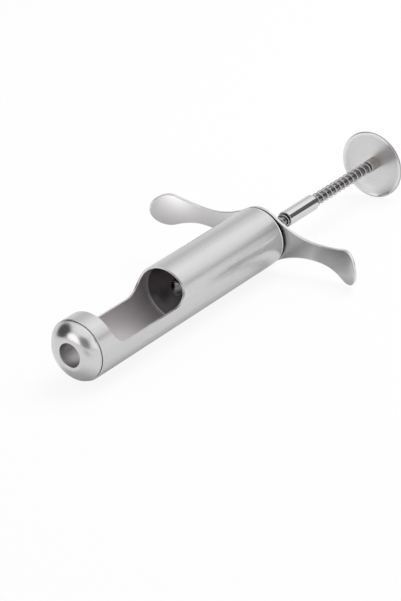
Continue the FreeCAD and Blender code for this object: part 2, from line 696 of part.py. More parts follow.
def make_thumb_disc():
    """Pressed disc, hollow on the spring's side and crowned on the thumb's side."""
    body = new_body("thumb_disc")
    radius = "((disc_radius - disc_flat_radius) ^ 2 + disc_dish ^ 2) / (2 * disc_dish)"
    rim_rear = DISC_RIM + " + disc_thickness"
    disc = revolve(body, "disc", [
        ("0", COLLAR_REAR),
        ("disc_flat_radius", COLLAR_REAR),
        ("disc_radius", DISC_RIM),
        ("disc_radius", rim_rear),
        ("disc_flat_radius", DISC_REAR),
        ("0", DISC_REAR),
    ], {1: (radius, 1), 3: (radius, -1)})
    rim = edges_where(disc, ring_at(number(DISC_RIM), number("disc_radius")))
    rim += edges_where(disc, ring_at(number(rim_rear), number("disc_radius")))
    dress(body, "Fillet", "rolled_rim", disc, rim, "disc_rim_round")
    place(body)
    return body


def arc_from(start, direction, end):
    """The arc that leaves start along direction and reaches end."""
    chord = end - start
    side = chord - direction * chord.dot(direction)
    if side.Length < NEARLY_NOTHING:
        return Part.LineSegment(start, end)
    side.normalize()
    radius = chord.dot(chord) / (2 * chord.dot(side))
    centre = start + side * radius
    middle = (start + end) / 2 - centre
    middle.normalize()
    return Part.Arc(start, centre + middle * radius, end)


def biarc(start, leaving, end, arriving):
    """Two arcs that join end to end and meet the directions given at both ends."""
    gap = end - start
    both = leaving + arriving
    a = 2 * (1 - leaving.dot(arriving))
    b = 2 * gap.dot(both)
    c = -gap.dot(gap)
    if abs(a) < NEARLY_NOTHING:
        reach = -c / b
    else:
        reach = (-b + math.sqrt(b * b - 4 * a * c)) / (2 * a)
    middle = (start + leaving * reach + end - arriving * reach) / 2
    first = arc_from(start, leaving, middle)
    second = arc_from(end, arriving * -1, middle)
    return first, second


def coil_spot(turn, station):
    """Point of the wire's middle line at a turn about the axis."""
    coil = number("spring_radius - spring_wire / 2")
    return Vector(coil * math.cos(turn), station, -coil * math.sin(turn))


def coil_heading(turn, pitch):
    """Direction of the wire's middle line at a turn about the axis."""
    coil = number("spring_radius - spring_wire / 2")
    step = pitch / (2 * math.pi)
    return Vector(-coil * math.sin(turn), step, -coil * math.cos(turn)).normalize()


def spring_curves(pitch):
    """The wire's middle line: a straight end on each seat, a bend into the coils and even half turns."""
    wire = number("spring_wire")
    front = number(NUT_REAR)
    rear = number(COLLAR_FRONT)
    low = front + wire + number("spring_end_rise")
    high = rear - wire - number("spring_end_rise")
    half_turns = int(number("spring_half_turns"))
    lead = math.radians(number("spring_end_turn"))
    along = Vector(0, 1, 0)
    seat = coil_spot(0, front + wire)
    curves = [Part.LineSegment(coil_spot(0, front), seat)]
    curves += biarc(seat, along, coil_spot(lead, low), coil_heading(lead, pitch))
    for half in range(half_turns):
        turn = lead + math.pi * half
        after = turn + math.pi
        start = coil_spot(turn, low + pitch * half / 2)
        end = coil_spot(after, low + pitch * (half + 1) / 2)
        curves += biarc(start, coil_heading(turn, pitch), end, coil_heading(after, pitch))
    last = lead + math.pi * half_turns
    end = last + lead
    seat = coil_spot(end, rear - wire)
    curves += biarc(coil_spot(last, high), coil_heading(last, pitch), seat, along)
    curves.append(Part.LineSegment(seat, coil_spot(end, rear)))
    return curves


def make_return_spring():
    """One unbroken wire: a round section swept along its middle line."""
    wire = number("spring_wire")
    open_length = number("spring_length - 2 * spring_wire - 2 * spring_end_rise")
    pitch = 2 * open_length / int(number("spring_half_turns"))
    path = Part.Wire([curve.toShape() for curve in spring_curves(pitch)])
    start = coil_spot(0, number(NUT_REAR))
    section = Part.Wire([Part.Circle(start, Vector(0, 1, 0), wire / 2).toShape()])
    shell = Part.BRepOffsetAPI.MakePipeShell(path)
    shell.add(section)
    shell.build()
    shell.makeSolid()
    report_spring(path, wire, pitch, shell.shape())
    spring = doc.addObject("Part::Feature", "return_spring")
    spring.Label = "return_spring"
    spring.Shape = shell.shape()
    spring.Placement = Placement(Vector(0, -number(MIDDLE), number("disc_radius")), Rotation())
    return spring


def report_spring(path, wire, pitch, solid):
    """Prints the wire's least gap to itself, measured on points, and its volume and expected volume."""
    step = 0.25
    near = int(2.5 * wire / step)
    reach = int(3 * math.pi * pitch / step)
    points = path.discretize(Number=int(path.Length / step))
    least = min(
        (points[i] - points[j]).Length
        for i in range(len(points))
        for j in range(i + near, min(len(points), i + reach))
    )
    radii = [edge.Curve.Radius for edge in path.Edges if edge.Curve.TypeId == "Part::GeomCircle"]
    expected = math.pi * (wire / 2) ** 2 * path.Length
    print("spring: pitch %.3f, least gap %.3f, least bend %.3f" % (pitch, least - wire, min(radii)))
    print("spring: volume %.3f, length times section %.3f" % (solid.Volume, expected))


pieces = [
    make_barrel_tube(),
    make_front_cap(),
    make_fruit_cup(),
    make_rear_plug(),
    make_handle_plate(),
    make_lock_nut(),
    make_plunger_rod(),
    make_coring_head(),
    make_return_spring(),
    make_stop_sleeve(),
    make_disc_collar(),
    make_thumb_disc(),
]

sheet.set("E1", "")
doc.recompute()
for thing in doc.Objects:
    if "Invalid" in thing.State or "Error" in thing.State:
        raise ValueError(thing.Label + " failed: " + str(thing.State))
for piece in pieces:
    if piece.Shape.isNull() or not piece.Shape.isValid():
        raise ValueError(piece.Label + " has no valid shape")

os.makedirs("parts", exist_ok=True)
for piece in pieces:
    piece.Shape.exportStep("parts/" + piece.Label + ".step")
    box = piece.Shape.BoundBox
    print("%-14s solids %d  volume %9.2f  y %8.2f to %8.2f  z %6.2f to %6.2f" % (
        piece.Label, len(piece.Shape.Solids), piece.Shape.Volume, box.YMin, box.YMax, box.ZMin, box.ZMax))
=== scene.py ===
import math

import bpy
from mathutils import Matrix, Vector


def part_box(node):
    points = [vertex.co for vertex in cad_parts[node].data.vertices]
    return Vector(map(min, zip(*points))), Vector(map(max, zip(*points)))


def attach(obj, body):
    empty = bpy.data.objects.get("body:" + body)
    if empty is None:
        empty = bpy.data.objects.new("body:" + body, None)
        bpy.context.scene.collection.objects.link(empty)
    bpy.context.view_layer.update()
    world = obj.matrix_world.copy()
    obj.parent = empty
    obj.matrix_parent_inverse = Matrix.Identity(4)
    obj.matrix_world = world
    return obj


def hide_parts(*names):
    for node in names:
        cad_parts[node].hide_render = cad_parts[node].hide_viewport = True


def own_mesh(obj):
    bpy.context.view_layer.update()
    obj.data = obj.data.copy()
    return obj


# The finished look of a stainless fruit pitter, whose axis runs along Y at the height of the disc's middle.

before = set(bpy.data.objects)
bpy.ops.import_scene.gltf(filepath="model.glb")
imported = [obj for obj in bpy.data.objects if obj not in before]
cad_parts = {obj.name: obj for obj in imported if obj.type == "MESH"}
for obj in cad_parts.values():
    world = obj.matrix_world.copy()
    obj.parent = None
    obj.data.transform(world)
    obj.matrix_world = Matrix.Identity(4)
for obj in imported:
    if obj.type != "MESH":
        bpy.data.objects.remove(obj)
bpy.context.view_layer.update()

MM = 0.001
DISC_LOW, DISC_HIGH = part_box("thumb_disc")
AXIS_HEIGHT = (DISC_LOW.z + DISC_HIGH.z) / 2
DISC_RADIUS = (DISC_HIGH.x - DISC_LOW.x) / 2
TUBE_LOW, TUBE_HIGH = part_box("barrel_tube")
TUBE_RADIUS = (TUBE_HIGH.x - TUBE_LOW.x) / 2
SLEEVE_LOW, SLEEVE_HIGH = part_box("stop_sleeve")
CUP_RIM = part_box("fruit_cup")[0].y
HEAD_LOW, HEAD_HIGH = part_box("coring_head")
HEAD_RADIUS = (HEAD_HIGH.x - HEAD_LOW.x) / 2
ROD_RADIUS = 2.2 * MM
OUTLET_RADIUS = 5.3 * MM

# Camera: a long lens from the front right, a little above, leaning clockwise as the photographer held it
PICTURE_WIDTH = 401
PICTURE_HEIGHT = 601
FOCAL_PIXELS = 2500.0
SENSOR = 36.0
CAMERA_AZIMUTH = math.radians(40.48)
CAMERA_ELEVATION = math.radians(23.10)
CAMERA_ROLL = math.radians(-8.11)
AIM_FROM_TUBE_EDGE = 70.0 * MM
AIM_PIXEL_X = 179.85
AIM_PIXEL_Y = 285.76
AIM_DEPTH = 1083.94 * MM
NEAREST_SEEN = 0.01
FARTHEST_SEEN = 20


def make_camera():
    """Sets the camera so that a known point of the axis falls on its pixel of the photograph."""
    level = Vector((math.cos(CAMERA_AZIMUTH), math.sin(CAMERA_AZIMUTH), 0))
    outward = Vector((math.sin(CAMERA_AZIMUTH), -math.cos(CAMERA_AZIMUTH), 0))
    back = outward * math.cos(CAMERA_ELEVATION) + Vector((0, 0, math.sin(CAMERA_ELEVATION)))
    upright = back.cross(level)
    right = level * math.cos(CAMERA_ROLL) + upright * math.sin(CAMERA_ROLL)
    up = upright * math.cos(CAMERA_ROLL) - level * math.sin(CAMERA_ROLL)
    aim = Vector((0, TUBE_LOW.y + AIM_FROM_TUBE_EDGE, AXIS_HEIGHT))
    per_pixel = AIM_DEPTH / FOCAL_PIXELS
    aside = (AIM_PIXEL_X - PICTURE_WIDTH / 2) * per_pixel
    above = (PICTURE_HEIGHT / 2 - AIM_PIXEL_Y) * per_pixel
    camera = bpy.data.objects.new("camera", bpy.data.cameras.new("camera"))
    camera.data.sensor_width = SENSOR
    camera.data.lens = FOCAL_PIXELS * SENSOR / PICTURE_HEIGHT
    camera.data.clip_start = NEAREST_SEEN
    camera.data.clip_end = FARTHEST_SEEN
    turn = Matrix((right, up, back)).transposed().to_4x4()
    camera.matrix_world = Matrix.Translation(aim + back * AIM_DEPTH - right * aside - up * above) @ turn
    bpy.context.scene.collection.objects.link(camera)
    bpy.context.scene.camera = camera


# Small helpers for shader trees

def add(tree, kind, settings=None, **inputs):
    """A shader node with its settings; each input is named or numbered (i0), and a number or an output."""
    made = tree.nodes.new("ShaderNode" + kind)
    for name, value in (settings or {}).items():
        setattr(made, name, value)
    for name, value in inputs.items():
        socket = made.inputs[int(name[1:])] if name[1:].isdigit() else made.inputs[name.replace("_", " ")]
        if isinstance(value, bpy.types.NodeSocket):
            tree.links.new(value, socket)
        else:
            socket.default_value = value
    return made


def calculate(tree, operation, *values):
    """The result of a Math node for the values."""
    inputs = {"i%d" % index: value for index, value in enumerate(values)}
    return add(tree, "Math", {"operation": operation}, **inputs).outputs[0]


def scaled(tree, vector, factors):
    """The vector times a factor along each axis."""
    return add(tree, "VectorMath", {"operation": "MULTIPLY"}, i0=vector, i1=factors).outputs[0]


def offset_from(tree, vector, place):
    """The vector from a fixed place to the point."""
    return add(tree, "VectorMath", {"operation": "SUBTRACT"}, i0=vector, i1=place).outputs[0]


def length_of(tree, vector):
    """How long the vector is."""
    return add(tree, "VectorMath", {"operation": "LENGTH"}, i0=vector).outputs["Value"]


def ramp(tree, value, low, high, out_low, out_high):
    """A value between low and high mapped smoothly to the range asked for."""
    mapped = add(tree, "MapRange", {"interpolation_type": "SMOOTHSTEP"}, Value=value)
    for name, number in (("From Min", low), ("From Max", high), ("To Min", out_low), ("To Max", out_high)):
        mapped.inputs[name].default_value = number
    return mapped.outputs[0]


def rise(tree, value, low, high):
    """0 below low, 1 above high and smooth between them."""
    return ramp(tree, value, low, high, 0.0, 1.0)


def fall(tree, value, low, high):
    """1 below low, 0 above high and smooth between them."""
    return ramp(tree, value, low, high, 1.0, 0.0)


def near(tree, point, middle, factors, inner):
    """1 round a middle, 0 where the offset times the factors is longer than 1; it starts to fade at inner."""
    reach = length_of(tree, scaled(tree, offset_from(tree, point, middle), factors))
    return fall(tree, reach, inner, 1.0)


def blend_colours(tree, share, first, second):
    """Two colours mixed by a share; each is a plain colour or a socket."""
    mixed = add(tree, "Mix", {"data_type": "RGBA"})
    for index, value in ((0, share), (6, first), (7, second)):
        if isinstance(value, bpy.types.NodeSocket):
            tree.links.new(value, mixed.inputs[index])
        else:
            mixed.inputs[index].default_value = value
    return mixed.outputs[2]


def grey(level, warmth=0.0):
    """A grey of a given level, a little rosy where it has warmth."""
    return (level * (1 + warmth), level, level * (1 + 0.2 * warmth), 1.0)


def new_material(name):
    """A new material with its tree and its shader."""
    material = bpy.data.materials.new(name)
    material.use_nodes = True
    return material, material.node_tree, material.node_tree.nodes["Principled BSDF"]


# Where a point lies on the tool, as shader sockets in metres

def place_of(tree):
    """The point itself, as the frame counts."""
    return add(tree, "TexCoord").outputs["Object"]


def from_axis(tree):
    """The point's offset from the middle of the tool's axis."""
    return offset_from(tree, place_of(tree), (0, 0, AXIS_HEIGHT))


def spoke_of(tree):
    """The part of that offset that stands square to the axis."""
    return scaled(tree, from_axis(tree), (1, 0, 1))


def radius_of(tree):
    """How far from the axis the point lies."""
    return length_of(tree, spoke_of(tree))


def station_of(tree):
    """How far along the axis the point lies."""
    return add(tree, "SeparateXYZ", i0=place_of(tree)).outputs["Y"]


# The steel's grain

GRAIN_DETAIL = 3.0
GRAIN_ROUGHNESS = 0.6
CLOUD_SIZE = 9 * MM
CLOUD_DETAIL = 2.0
CLOUD_ROUGHNESS = 0.5


def straight_grain(tree, width, stretch, axis):
    """Streaks that run straight along an axis, a given width across and stretch times as long."""
    sizes = [width * stretch if name == axis else width for name in "XYZ"]
    place = scaled(tree, from_axis(tree), [1 / size for size in sizes])
    noise = add(tree, "TexNoise", Vector=place, Scale=1.0, Detail=GRAIN_DETAIL, Roughness=GRAIN_ROUGHNESS)
    return noise.outputs[0]


def round_grain(tree, width, turns):
    """Streaks that run round the axis, as a lathe or a polishing wheel leaves them."""
    spoke = add(tree, "VectorMath", {"operation": "NORMALIZE"}, i0=spoke_of(tree)).outputs[0]
    arms = scaled(tree, spoke, (turns, 0, turns))
    ring = add(tree, "CombineXYZ", Y=calculate(tree, "DIVIDE", radius_of(tree), width)).outputs[0]
    place = add(tree, "VectorMath", {"operation": "ADD"}, i0=arms, i1=ring).outputs[0]
    depth = calculate(tree, "DIVIDE", station_of(tree), width)
    noise = add(
        tree, "TexNoise", {"noise_dimensions": "4D"},
        Vector=place, W=depth, Scale=1.0, Detail=GRAIN_DETAIL, Roughness=GRAIN_ROUGHNESS)
    return noise.outputs[0]


def clouds(tree):
    """Broad soft unevenness of the polish."""
    noise = add(
        tree, "TexNoise",
        Vector=from_axis(tree), Scale=1 / CLOUD_SIZE, Detail=CLOUD_DETAIL, Roughness=CLOUD_ROUGHNESS)
    return noise.outputs[0]


# Steels

# The stretch of a noise's values over which the colour and the polish change
COLOUR_SPAN = (0.3, 0.7)
POLISH_SPAN = (0.25, 0.75)
CLOUD_SPAN = (0.3, 0.7)
BUMP_STRENGTH = 0.35

# The two radii between which one colour and finish of a piece gives way to the next; some of these colours
# are painted light and shade, as noted
TUBE_INSIDE = (TUBE_RADIUS - 0.8 * MM, TUBE_RADIUS - 0.6 * MM)
# Inside the outlet's mouth the cap is painted darker: painted shade in the bore
OUTLET_MOUTH = (OUTLET_RADIUS + 0.05 * MM, OUTLET_RADIUS + 0.4 * MM)
# Inside the crown's bore the head is painted white: a painted glint
CROWN_BORE = (HEAD_RADIUS - 0.9 * MM, HEAD_RADIUS - 0.7 * MM)
# On the disc's rim a painted highlight, at its very edge painted shade
DISC_RIM = (DISC_RADIUS - 2.2 * MM, DISC_RADIUS - 0.9 * MM)
DISC_EDGE = (DISC_RADIUS - 0.35 * MM, DISC_RADIUS - 0.15 * MM)
# Inside this radius the rod is painted darker: painted shade within the spring
ROD_SKIN = (ROD_RADIUS + 0.1 * MM, ROD_RADIUS + 0.4 * MM)

# The same along the axis
# Within this span behind the cup's rim its colour is painted lighter: a painted highlight on the rim
CUP_RIM_REAR = (CUP_RIM + 0.1 * MM, CUP_RIM + 0.2 * MM)
# Between the groove's front and rear the plug is painted dark: painted shade in the groove
GROOVE_FRONT = (TUBE_HIGH.y + 0.8 * MM, TUBE_HIGH.y + 1.0 * MM)
GROOVE_REAR = (TUBE_HIGH.y + 2.5 * MM, TUBE_HIGH.y + 2.6 * MM)
# Between these stations the turned steel grows browner and darker towards the disc
BROWNING_NEAR_DISC = (DISC_LOW.y - 6 * MM, DISC_LOW.y + 3 * MM)

# How much of a normal points along the axis where the plate's edge is wholly, and no longer, polished and
# painted lighter as a painted highlight
EDGE_LEAN = (0.55, 0.82)

STRAW = (0.26, 0.21, 0.18, 1.0)
STRAW_SHARE = 0.6


def steel(name, colour, roughness, grain, streak=0.08, uneven=0.03, depth=0.01 * MM, anisotropy=0.0):
    """Stainless steel: a grain streaks its colour, polish and height, and clouds make the polish uneven."""
    material, tree, shader = new_material(name)
    shader.inputs["Metallic"].default_value = 1.0
    lines = grain(tree)
    dull = tuple(channel * (1 - streak) for channel in colour[:3]) + (1.0,)
    shade = blend_colours(tree, rise(tree, lines, *COLOUR_SPAN), dull, colour)
    tree.links.new(shade, shader.inputs["Base Color"])
    polish = ramp(tree, lines, *POLISH_SPAN, roughness - uneven, roughness + uneven)
    broad = ramp(tree, clouds(tree), *CLOUD_SPAN, -uneven, uneven)
    tree.links.new(calculate(tree, "ADD", polish, broad), shader.inputs["Roughness"])
    bump = add(tree, "Bump", Strength=BUMP_STRENGTH, Distance=depth, Height=lines)
    tree.links.new(bump.outputs[0], shader.inputs["Normal"])
    if anisotropy:
        shader.inputs["Anisotropic"].default_value = anisotropy
        tangent = add(tree, "Tangent", {"direction_type": "RADIAL", "axis": "Y"})
        tree.links.new(tangent.outputs[0], shader.inputs["Tangent"])
    return material, tree, shader


def refinish(tree, shader, share, colour, roughness=None):
    """Blends a second colour, and a second roughness if one is given, over the steel's own by a share."""
    own = shader.inputs["Base Color"].links[0].from_socket
    tree.links.new(blend_colours(tree, share, own, colour), shader.inputs["Base Color"])
    if roughness is not None:
        own = shader.inputs["Roughness"].links[0].from_socket
        mixed = add(tree, "Mix", {"data_type": "FLOAT"}, i0=share, i2=own, i3=roughness)
        tree.links.new(mixed.outputs[0], shader.inputs["Roughness"])


def barrel_steel():
    """Brushed outside; the drawn inside is duller."""
    material, tree, shader = steel(
        "brushed_tube", colour=grey(0.66), roughness=0.25, streak=0.06, uneven=0.02,
        grain=lambda tree: straight_grain(tree, width=0.28 * MM, stretch=160, axis="Y"))
    inside = fall(tree, radius_of(tree), *TUBE_INSIDE)
    refinish(tree, shader, inside, grey(0.72, warmth=0.05), roughness=0.58)
    return material


def cap_steel():
    """Turned satin; the bore of the outlet is duller, and painted darker as painted shade."""
    material, tree, shader = steel(
        "satin_cap", colour=grey(0.70), roughness=0.17, streak=0.06, uneven=0.02,
        grain=lambda tree: round_grain(tree, width=0.3 * MM, turns=2.5))
    hole = fall(tree, radius_of(tree), *OUTLET_MOUTH)
    # The bore's darker colour is painted shade in the hole; its higher roughness is a duller finish
    refinish(tree, shader, hole, grey(0.36, warmth=0.03), roughness=0.4)
    return material


def cup_steel():
    """Painted near black in the dish, as painted shade, and dull; the thin rim is turned smoother and painted
    lighter, as a painted highlight.
    """
    # The dish's near-black colour is painted shade inside the tube
    material, tree, shader = steel(
        "inner_steel", colour=grey(0.062, warmth=0.09), roughness=0.33,
        grain=lambda tree: round_grain(tree, width=0.3 * MM, turns=2.0))
    # The rim's lighter colour is a painted highlight; its lower roughness is a real turned finish
    rim = fall(tree, station_of(tree), *CUP_RIM_REAR)
    refinish(tree, shader, rim, grey(0.28), roughness=0.22)
    return material


def head_steel():
    """Crown painted dark, as painted shade, with a polished bore painted white, as a painted glint, which
    draws the light spot at the bottom of the dish.
    """
    material, tree, shader = steel(
        "coring_steel", colour=grey(0.20), roughness=0.20, streak=0.05,
        grain=lambda tree: round_grain(tree, width=0.25 * MM, turns=3.0))
    # The crown's dark colour is painted shade; the bore's white colour is a painted glint, its low roughness
    # real polish
    bore = fall(tree, radius_of(tree), *CROWN_BORE)
    refinish(tree, shader, bore, grey(1.0), roughness=0.12)
    return material


def turned_and_polished(name, level, roughness):
    """Mirror-like steel with a faint grain round the axis; its tree and shader come with it."""
    return steel(
        name, colour=grey(level), roughness=roughness, streak=0.03, uneven=0.012,
        grain=lambda tree: round_grain(tree, width=0.25 * MM, turns=3.0))


def polished_steel(name, level, roughness):
    """The same as a material alone."""
    return turned_and_polished(name, level, roughness)[0]


def plug_steel():
    """Polished; the groove before the plate is painted dark, as painted shade."""
    material, tree, shader = turned_and_polished("polished_steel", level=0.74, roughness=0.12)
    station = station_of(tree)
    begun = rise(tree, station, *GROOVE_FRONT)
    not_over = fall(tree, station, *GROOVE_REAR)
    # Painted shade in the groove between the flange and the plate
    refinish(tree, shader, calculate(tree, "MULTIPLY", begun, not_over), grey(0.10))
    return material


def plate_steel():
    """Satin faces; the sheet's rounded edges, whose normals turn away from the tool's axis, are polished and
    painted lighter, as a painted highlight.
    """
    material, tree, shader = steel(
        "satin_plate", colour=grey(0.64, warmth=0.02), roughness=0.24, streak=0.04, uneven=0.01,
        depth=0.001 * MM, grain=lambda tree: straight_grain(tree, width=0.4 * MM, stretch=40, axis="X"))
    normal = add(tree, "TexCoord").outputs["Normal"]
    along_axis = calculate(tree, "ABSOLUTE", add(tree, "SeparateXYZ", i0=normal).outputs["Y"])
    edge = fall(tree, along_axis, *EDGE_LEAN)
    # The edge's lighter colour is a painted highlight; its lower roughness is real polish
    refinish(tree, shader, edge, grey(0.72), roughness=0.13)
    return material


def disc_steel():
    """Satin dish with a polished rim that is painted lighter, as a painted highlight, and painted darker at
    its very edge, as painted shade.
    """
    material, tree, shader = steel(
        "satin_disc", colour=grey(0.70), roughness=0.30, streak=0.03, uneven=0.015, depth=0.004 * MM,
        anisotropy=0.5, grain=lambda tree: round_grain(tree, width=0.22 * MM, turns=1.5))
    radius = radius_of(tree)
    # The rim's lighter colour is a painted highlight, its lower roughness real polish; the edge's darker
    # colour is painted shade
    rim = rise(tree, radius, *DISC_RIM)
    refinish(tree, shader, rim, grey(0.80), roughness=0.2)
    edge = rise(tree, radius, *DISC_EDGE)
    refinish(tree, shader, edge, grey(0.42))
    return material


def collar_steel():
    """Turned steel: it is browner and darker towards the disc, and the rod is painted darker, as painted
    shade.
    """
    material, tree, shader = steel(
        "rod_steel", colour=grey(0.42, warmth=0.05), roughness=0.2, streak=0.08,
        grain=lambda tree: round_grain(tree, width=0.25 * MM, turns=2.0))
    # The rod's darker colour is painted shade inside the spring
    rod = fall(tree, radius_of(tree), *ROD_SKIN)
    refinish(tree, shader, rod, grey(0.26, warmth=0.02))
    # Browner and darker towards the disc
    browning = ramp(tree, station_of(tree), *BROWNING_NEAR_DISC, 0.0, STRAW_SHARE)
    refinish(tree, shader, browning, STRAW)
    return material


def wire_steel():
    """Bright drawn wire."""
    return steel(
        "spring_wire", colour=grey(0.64, warmth=0.05), roughness=0.14, streak=0.10,
        grain=lambda tree: straight_grain(tree, width=0.2 * MM, stretch=6, axis="Y"))[0]


def dress(node, material):
    """Gives a CAD node its finish."""
    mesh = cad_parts[node].data
    mesh.materials.clear()
    mesh.materials.append(material)


def make_object(name, vertices, faces, material, smooth=None):
    """An object of points and faces; smooth has a True for each face that is shaded smooth."""
    mesh = bpy.data.meshes.new(name)
    mesh.from_pydata(vertices, [], faces)
    mesh.validate()
    if smooth:
        mesh.polygons.foreach_set("use_smooth", smooth)
    mesh.materials.append(material)
    made = bpy.data.objects.new(name, mesh)
    bpy.context.scene.collection.objects.link(made)
    return made


# The return spring's coil

WIRE = 0.5 * MM
COIL_TURNS = 23.5
END_TURNS = 1.0
ALL_TURNS = COIL_TURNS + 2 * END_TURNS
CLOSED_PITCH = 1.15 * WIRE
STEPS_PER_TURN = 28
ROUND_STEPS = 12


def coil_station(turn, low, high):
    """Where along the axis the wire is after a number of turns: closed end coils, an even pitch between."""
    if turn < END_TURNS:
        return low + CLOSED_PITCH * turn
    if turn > ALL_TURNS - END_TURNS:
        return high - CLOSED_PITCH * (ALL_TURNS - turn)
    share = (turn - END_TURNS) / COIL_TURNS
    start = low + CLOSED_PITCH * END_TURNS
    end = high - CLOSED_PITCH * END_TURNS
    return start + (end - start) * share


def make_coil():
    """The wire's rings of points, joined to one skin and closed at both ends."""
    low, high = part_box("return_spring")
    radius = (high.x - low.x) / 2 - WIRE / 2
    first = low.y + WIRE / 2
    last = high.y - WIRE / 2
    count = int(ALL_TURNS * STEPS_PER_TURN)
    vertices = []
    faces = []
    for step in range(count + 1):
        turn = step / STEPS_PER_TURN
        angle = 2 * math.pi * turn
        out = Vector((math.cos(angle), 0, -math.sin(angle)))
        centre = out * radius + Vector((0, coil_station(turn, first, last), AXIS_HEIGHT))
        for side in range(ROUND_STEPS):
            lean = 2 * math.pi * side / ROUND_STEPS
            outwards = WIRE / 2 * math.cos(lean)
            rearwards = WIRE / 2 * math.sin(lean)
            vertices.append(centre + out * outwards + Vector((0, rearwards, 0)))
    for step in range(count):
        here = step * ROUND_STEPS
        beyond = here + ROUND_STEPS
        for side in range(ROUND_STEPS):
            other = (side + 1) % ROUND_STEPS
            faces.append((here + side, here + other, beyond + other, beyond + side))
    faces.append(tuple(reversed(range(ROUND_STEPS))))
    faces.append(tuple(count * ROUND_STEPS + side for side in range(ROUND_STEPS)))
    coil = make_object("spring_coil", vertices, faces, wire_steel(), smooth=[True] * len(faces))
    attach(coil, "barrel")
    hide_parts("return_spring")
    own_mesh(coil)


# The polished bead on the plug's flange, just behind the tube's end

BEAD_OUTER = 13.9 * MM
BEAD_INNER = 13.15 * MM
BEAD_START = 0.04 * MM
BEAD_WIDTH = 0.85 * MM
BEAD_STEPS = 12
ROUND_THE_TUBE = 144


def make_bead():
    """A ring with a half-round section whose flat inner side isn't shaded smooth."""
    vertices = []
    faces = []
    smooth = []
    row = BEAD_STEPS + 1
    for spoke in range(ROUND_THE_TUBE):
        angle = 2 * math.pi * spoke / ROUND_THE_TUBE
        out = Vector((math.cos(angle), 0, math.sin(angle)))
        for step in range(row):
            lean = math.pi * step / BEAD_STEPS
            radius = BEAD_INNER + (BEAD_OUTER - BEAD_INNER) * math.sin(lean)
            station = TUBE_HIGH.y + BEAD_START + BEAD_WIDTH * (1 - math.cos(lean)) / 2
            vertices.append(out * radius + Vector((0, station, AXIS_HEIGHT)))
    for spoke in range(ROUND_THE_TUBE):
        here = spoke * row
        beyond = (spoke + 1) % ROUND_THE_TUBE * row
        for step in range(row):
            after = (step + 1) % row
            faces.append((here + step, beyond + step, beyond + after, here + after))
            smooth.append(step != BEAD_STEPS)
    bead = make_object("flange_bead", vertices, faces, polished_steel("bead_steel", 0.80, 0.10), smooth)
    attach(bead, "barrel")


# Stage: floor, world, cards and lamp

WHITE = (1, 1, 1, 1)
FLOOR_SIZE = 6.0
FLOOR_LEVEL = 0.93
FLOOR_ROUGHNESS = 0.9
# How much of what the camera sees of the floor is plain white instead of lit
FLOOR_WHITENED = 0.88

# Patches of the floor that only the metal's mirror rays meet: painted shade and painted light in the metal's
# reflections. Middle and half size are across and along the tool, in millimetres; inner is the share of the
# half size at which a patch starts to fade.
FLOOR_PATCHES = [
    # Two long dark bands under the tube's right half, painted reflections for the stripes on its lower right
    # side
    dict(middle=(9, -30), half_size=(7, 90), inner=0.5, cover=0.45, level=0.68),
    dict(middle=(1, -40), half_size=(7, 90), inner=0.4, cover=0.6, level=0.40),
    # A dark and a bright one on the left, for the shade and the light on the left wing
    dict(middle=(-52, -3), half_size=(38, 29), inner=0.3, cover=0.7, level=0.40),
    dict(middle=(-43, -63), half_size=(44, 32), inner=0.3, cover=0.9, level=2.9),
    # A dark one far in front, a painted reflection for the lower side of the cap
    dict(middle=(22, -220), half_size=(36, 85), inner=0.3, cover=0.6, level=0.42),
]

# How bright the studio's long strip lights and gaps are, by the angle round the tool's axis, 0 to the right
STRIPS = [
    (-180, 0.90), (-90, 0.88), (-20, 0.90), (0, 0.97), (12, 0.99), (21, 0.82), (27, 0.42), (33, 0.82),
    (45, 0.98), (62, 1.08), (80, 1.16), (100, 1.02), (118, 0.82), (133, 0.68), (150, 0.80), (180, 0.90),
]
# In front of the tool the strips give way to an even level, between these two parts of a direction along Y
FRONT_LEVEL = 0.88
FRONT_TO_BACK = (-0.2, 0.3)
# Dark and bright round cards: the way to them from the tool, and how many degrees from there they are full
# and gone
WORLD_CARDS = [
    dict(towards=(-0.80, -0.50, 0.33), full=14, gone=32, level=0.10),
    dict(towards=(0.18, -0.94, 0.22), full=8, gone=25, level=0.28),
    dict(towards=(-0.38, -0.88, 0.18), full=8, gone=20, level=1.45),
    dict(towards=(0.90, -0.33, 0.28), full=18, gone=36, level=1.12),
    dict(towards=(0.10, -0.52, 0.85), full=14, gone=34, level=1.05),
]
# World colours are held this many times too dark, and its strength makes up for it, so that none passes 1
HEADROOM = 2.0
# The world's strength for all rays but the metal's and the camera's
PLAIN_LIGHT = 0.62


